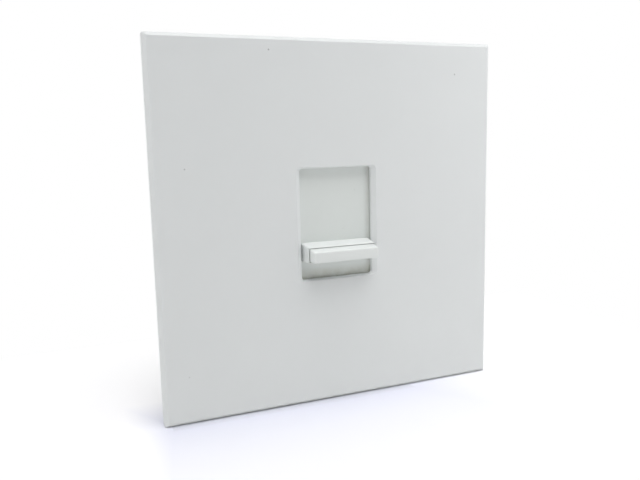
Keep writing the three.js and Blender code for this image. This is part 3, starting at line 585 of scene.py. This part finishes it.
# The visible front: faceplate, shutter, knob and push bar
def make_faceplate():
    """The bevelled sheet with its rim towards the wall, the window and four posts."""
    side, (front, posts_end), _ = spans("faceplate")
    bevel = 1.1
    rim_thickness = 2
    rim_back = front + 4
    sheet_back = front + 2.2
    slope_depth = 1
    face = grown(side, -bevel)
    inner = grown(side, -rim_thickness)
    mouth = (grown(WINDOW_X, 1.4), grown(WINDOW_Z, 0.4))
    shell = lofted([
        (front, face, face, 0.15),
        (front + bevel, side, side, 0.3),
        (rim_back, side, side, 0.3),
        (rim_back, inner, inner, 0.4),
        (sheet_back, inner, inner, 0.4),
        (sheet_back, WINDOW_X, WINDOW_Z, 1),
        (front + slope_depth, WINDOW_X, WINDOW_Z, 1),
        (front, *mouth, 1.3),
    ], closed=True)
    post_radius = 2
    places = (-48.5, 48.5)
    posts = [pin(post_radius, x, z, (front + bevel, posts_end), 28) for x in places for z in places]
    dress("faceplate", merged(shell, *posts), edge=0.1, angle=20)


def make_shutter():
    x_span, y_span, z_span = spans("shutter")
    clearance = 0.3
    hole = prism(grown(y_span, 1), about(0, STEM_WIDTH + 2 * clearance),
                 about(KNOB_AXIS, STEM_HEIGHT + 2 * clearance), 0.3)
    dress("shutter", carved(prism(y_span, x_span, z_span, 0.6), hole), "slider", edge=0.12)


def make_knob():
    """The knob: its head with a pocket for the bar, and its stem, with the push rod's bore through both."""
    _, (front, tip), rear_z = spans("slider_knob")
    front_width, rear_width, pocket_width = 23.1, 23.8, 22.9
    low, high = KNOB_AXIS - 2.65, KNOB_AXIS + 2.25
    lower_wall, upper_wall = 0.25, 0.15
    pocket_floor = front + 2.9
    sunk = 0.9
    head = lofted([
        (front, about(0, front_width), (low, high), 0.45),
        (SHUTTER_FRONT, about(0, rear_width), rear_z, 0.6),
    ])
    stem = prism((SHUTTER_FRONT - sunk, tip), about(0, STEM_WIDTH), about(KNOB_AXIS, STEM_HEIGHT), 0.3)
    shell = carved(head, stem, operation="UNION")
    pocket_z = (low + lower_wall, high - upper_wall)
    pocket = prism((front - 1, pocket_floor), about(0, pocket_width), pocket_z, 0.35)
    bore = pin(BORE_RADIUS, 0, KNOB_AXIS, (pocket_floor - sunk, tip + 1))
    dress("slider_knob", carved(shell, pocket, bore), "slider", edge=0.12, segments=3, finish="bar_plastic")


def make_push_bar():
    """The bar: its rounded front, the collar that runs in the knob's pocket, and the push rod's socket."""
    collar_x, (front, back), collar_z = spans("push_bar")
    collar_front = spans("slider_knob")[1][0]
    width = 22.1
    low, high = KNOB_AXIS - 2.15, KNOB_AXIS + 1.35
    ease = 0.4
    loops = []
    for turn in (0, 25, 50, 70, 90):
        inset = ease * (1 - math.sin(math.radians(turn)))
        y = front + ease * (1 - math.cos(math.radians(turn)))
        loops.append((y, about(0, width - 2 * inset), (low + inset, high - inset), 0.5 - 0.8 * inset))
    loops += [(y, collar_x, collar_z, 0.35) for y in (collar_front, back)]
    socket = pin(BORE_RADIUS, 0, KNOB_AXIS, (spans("push_rod")[1][0], back + 1.6))
    dress("push_bar", carved(lofted(loops), socket), "bar", edge=0.08, angle=32)


# Screws. Each is made along Y with its head towards -Y and then turned. A way is the axis, the head's side
# on it and the turn about Z
HEAD_WAYS = {"front": (1, -1, 0), "rear": (1, 1, 180), "left": (0, -1, -90), "right": (0, 1, 90)}


def make_screw(node, way, roll, head_height, groove, shank_radius=1.75, crown=0.35, pitch=0.79, cross=None):
    """A screw in its node's place: a crowned head with a groove or a cross, and a wound thread.

    A groove is a width and a depth, and a cross is its length. The crown says how far the head's top falls
    off, as a share of its height.
    """
    axis, side, turn = HEAD_WAYS[way]
    low, high = spans(node)[axis]
    seat = list(middle(node))
    seat[axis] = high - head_height if side > 0 else low + head_height
    length = round(high - low - head_height, 4)
    bottom, top = spans(node)[2]
    head = round((top - bottom) / 2, 4)
    thread_depth = 0.28
    point = 0.6
    root = shank_radius - thread_depth
    shape = turned([
        (0, -head_height),
        (head * 0.4, -head_height * (1 - crown * 0.1)),
        (head * 0.7, -head_height * (1 - crown * 0.4)),
        (head * 0.9, -head_height * (1 - crown)),
        (head, -head_height * (1 - crown * 1.6)),
        (head, 0),
        (root, 0),
        (root, length - point),
        (root * 0.6, length),
        (0, length),
    ], 36)
    width, depth = groove
    reach = (-2 * head_height, depth - head_height)
    cutters = [brick(about(0, cross or 3 * head), reach, about(0, width))]
    if cross:
        cutters.append(brick(about(0, width), reach, about(0, cross)))
    start = 0.25
    plain_end = 1.3
    foot = root - 0.05
    ridge = [(foot, start), (shank_radius, start + pitch * 0.42), (foot, start + pitch * 0.84)]
    thread = wound(ridge, pitch, turns=int((length - plain_end) / pitch), steps=20)
    stand = Matrix.Rotation(math.radians(turn), 4, "Z") @ Matrix.Rotation(math.radians(roll), 4, "Y")
    dress(node, moved(merged(carved(shape, *cutters), thread), shift(*seat) @ stand), angle=40)


def make_screws():
    for level, roll in (("upper", 8), ("lower", -5)):
        make_screw(f"{level}_mounting_screw", "front", roll, head_height=1.8, groove=(0.9, 0.9))
    for corner, roll in zip(CORNERS, (20, -35, 65, 10)):
        make_screw(f"{corner}_housing_screw", "rear", roll, head_height=1.6, groove=(0.7, 0.9),
                   shank_radius=1.4, pitch=0.9, cross=3)
    make_screw("ground_screw", "rear", 25, head_height=2.4, groove=(0.8, 1), crown=0.2)
    for node, way, roll in (("line_terminal_screw", "left", -30), ("load_terminal_screw", "right", 30)):
        make_screw(node, way, roll, head_height=2, groove=(0.8, 0.9), crown=0.15)


# Yoke, housing and what is fixed to them
def housing_grooves():
    """Cutters for the housing's outer sides: a rebate at the cover, and shallow moulded grooves."""
    x_span, (_, back), z_span = spans("housing")
    depth = 0.35
    beyond = 1
    sides, ends = [[(low - beyond, low + depth), (high - depth, high + beyond)]
                   for low, high in (x_span, z_span)]
    rebate = (back - 0.6, back + beyond)
    cutters = [brick(side, rebate, grown(z_span, 2 * beyond)) for side in sides]
    cutters += [brick(grown(x_span, 2 * beyond), rebate, end) for end in ends]
    side_width, side_length = 1.6, (-28, 0)
    for y in (6, 10, 14, 18, 22):
        cutters += [brick(side, about(y, side_width), side_length) for side in sides]
    end_width, end_length = 1.8, (5, 26)
    for x in (-15, -10, -5, 0, 5, 10, 15):
        cutters += [brick(about(x, end_width), end_length, end) for end in ends]
    return cutters


def make_yoke_and_housing():
    dress("heat_sink_yoke", copy_of("heat_sink_yoke"), edge=0.18, level=True)
    dress("housing", carved(copy_of("housing"), *housing_grooves()), edge=0.25, level=True)


def make_rear_cover():
    """The cover with a chamfer, a bare recess where a label would sit, and its screws' holes."""
    x_span, (front, back), z_span = spans("rear_cover")
    chamfer = 0.4
    cover = lofted([
        (front, x_span, z_span, 0.5),
        (back - chamfer, x_span, z_span, 0.5),
        (back, grown(x_span, -chamfer), grown(z_span, -chamfer), 0.5),
    ])
    depth = 0.5
    recess = lofted([
        (back - depth, about(0, 30), about(0, 46), 1.2),
        (back + depth, about(0, 32), about(0, 48), 2.2),
    ])
    hole_radius = 1.7
    screws = [middle(f"{corner}_housing_screw") for corner in CORNERS]
    holes = [pin(hole_radius, x, z, (front - 1, back + 1)) for x, _, z in screws]
    dress("rear_cover", carved(cover, recess, *holes), edge=0.12)


def make_fittings():
    """The faceplate's clips, the screw retainers and the terminals."""
    for corner in CORNERS:
        node = f"{corner}_faceplate_clip"
        dress(node, copy_of(node), edge=0.08)
    for level in ("upper", "lower"):
        node = f"{level}_screw_retainer"
        (_, rim), (front, back), _ = spans(node)
        hole = 2.05
        shoulder = rim - 0.2
        ease = 0.15
        washer = turned([
            (hole, front), (shoulder, front), (rim, front + ease), (rim, back - ease), (shoulder, back),
            (hole, back), (hole, front)], 40)
        dress(node, moved(washer, shift(0, 0, middle(node)[2])))
    for node in ("line_terminal", "load_terminal"):
        dress(node, copy_of(node), edge=0.1)


# Wound pieces: the two springs behind the bail and the choke's wire
def make_windings():
    for node in ("upper_bail_spring", "lower_bail_spring"):
        start, end = spans(node)[1]
        z = middle(node)[2]
        section = wire_section(coil_radius=1.9, y=start + 0.35, wire_radius=0.34)
        coil = wound(section, pitch=0.8, turns=5, steps=20)
        spring = dress(node, moved(coil, shift(0, 0, z)), angle=60)
        length = end - start
        z * MM
        (length - BAIL_TRAVEL) / length
        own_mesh(spring)
    x, _, z = middle("choke_winding")
    start = spans("choke_winding")[1][0]
    section = wire_section(coil_radius=5.1, y=start + 0.3, wire_radius=0.28)
    coil = wound(section, pitch=0.56, turns=8, steps=28)
    dress("choke_winding", moved(coil, shift(x, 0, z)), angle=60)


# CAD nodes whose shape is right keep it and take their finish
def finish_nodes():
    for node, slot in SLOTS.items():
        materials = frame["nodes"][node].data.materials
        materials.clear()
        materials.append(FINISHES[slot])


# The white floor and room
def make_floor():
    """A white sheet that keeps the object's shadow and turns plain white further off.

    The camera sees a painted bluish shadow on it in front of the plate, darkest at the plate's foot. The
    light that it throws back is grey.
    """
    (left, right), _, (bottom, _) = spans("faceplate")
    gap = 0.05
    half_side = 6
    bm = bmesh.new()
    bmesh.ops.create_grid(bm, x_segments=1, y_segments=1, size=half_side, matrix=shift(0, 0, bottom - gap))
    floor = as_object("floor", bm)
    paper = Finish("white floor")
    x, y = paper.axis("X"), paper.axis("Y")
    # How far a point is in front of the plate, which sets the painted shadow. Behind it and past its ends the
    # painted shadow runs out sooner
    shade = paper.largest(y * -1, (y + 8 * MM) * 3, (x - 20 * MM) * 1.5, (-54 * MM - x) * 5)
    # Painted shadow: the colour the camera sees darkens to a bluish grey towards the plate's foot
    painted_shadow_colour = paper.node("ShaderNodeValToRGB", {"stops": (
        (0, (0.62, 0.63, 0.70)),
        (0.05, (0.75, 0.76, 0.86)),
        (1, (0.99, 0.985, 1.0)),
    )}, {0: paper.ramp(shade, 7.6, 70)})
    paper.surface(paper.blend(paper.seen(), (0.85, 0.85, 0.85), painted_shadow_colour), 0.9)
    lit = Field(paper, paper.shader.outputs[0])
    white = paper.node("ShaderNodeEmission", {}, {"Color": (1, 1, 1)})
    away = paper.largest(y, y * -1, x - right * MM, left * MM - x)
    fade = paper.ramp(away, 10, 90) * paper.seen()
    faded = paper.node("ShaderNodeMixShader", {}, {0: fade, 1: lit, 2: white})
    paper.feed(paper.nodes["Material Output"].inputs["Surface"], faded)
    floor.data.materials.append(paper.material)


def make_room():
    """A white world that the camera and reflections see and that gives no light."""
    scene.world = bpy.data.worlds.new("white room")
    room = NodeTree(scene.world)
    back = room.nodes["Background"]
    room.feed(back.inputs["Color"], (1, 1, 1))
    room.feed(back.inputs["Strength"], room.seen())


# Lamps: name, kind, place in metres (a sun's is its direction), a sun's angle in degrees or a soft box's
# side in metres, and power
LAMPS = (
    ("sky above", "SUN", (0, -0.26, 0.97), 50, 1.8),
    ("sky in front", "SUN", (0, -0.5, 0.87), 30, 0.52),
    ("sky behind", "SUN", (0, 0.64, 0.77), 80, 1.08),
    ("sky left", "SUN", (-0.97, -0.12, 0.2), 30, 0.62),
    ("soft box right", "AREA", (0.22, -0.11, 0.12), 0.2, 0.2),
)


def make_lamps():
    for name, kind, place, size, power in LAMPS:
        data = bpy.data.lights.new(name, kind)
        data.energy = power
        if kind == "SUN":
            data.angle = math.radians(size)
        else:
            data.shape = "SQUARE"
            data.size = size
        lamp = bpy.data.objects.new(name, data)
        scene.collection.objects.link(lamp)
        lamp.visible_camera = False
        lamp.location = place
        lamp.rotation_euler = (-Vector(place)).to_track_quat("-Z", "Y").to_euler()


make_camera()
finish_nodes()
make_faceplate()
make_shutter()
make_knob()
make_push_bar()
make_screws()
make_yoke_and_housing()
make_rear_cover()
make_fittings()
make_windings()
make_floor()
make_room()
make_lamps()
scene.view_settings.view_transform = "Standard"
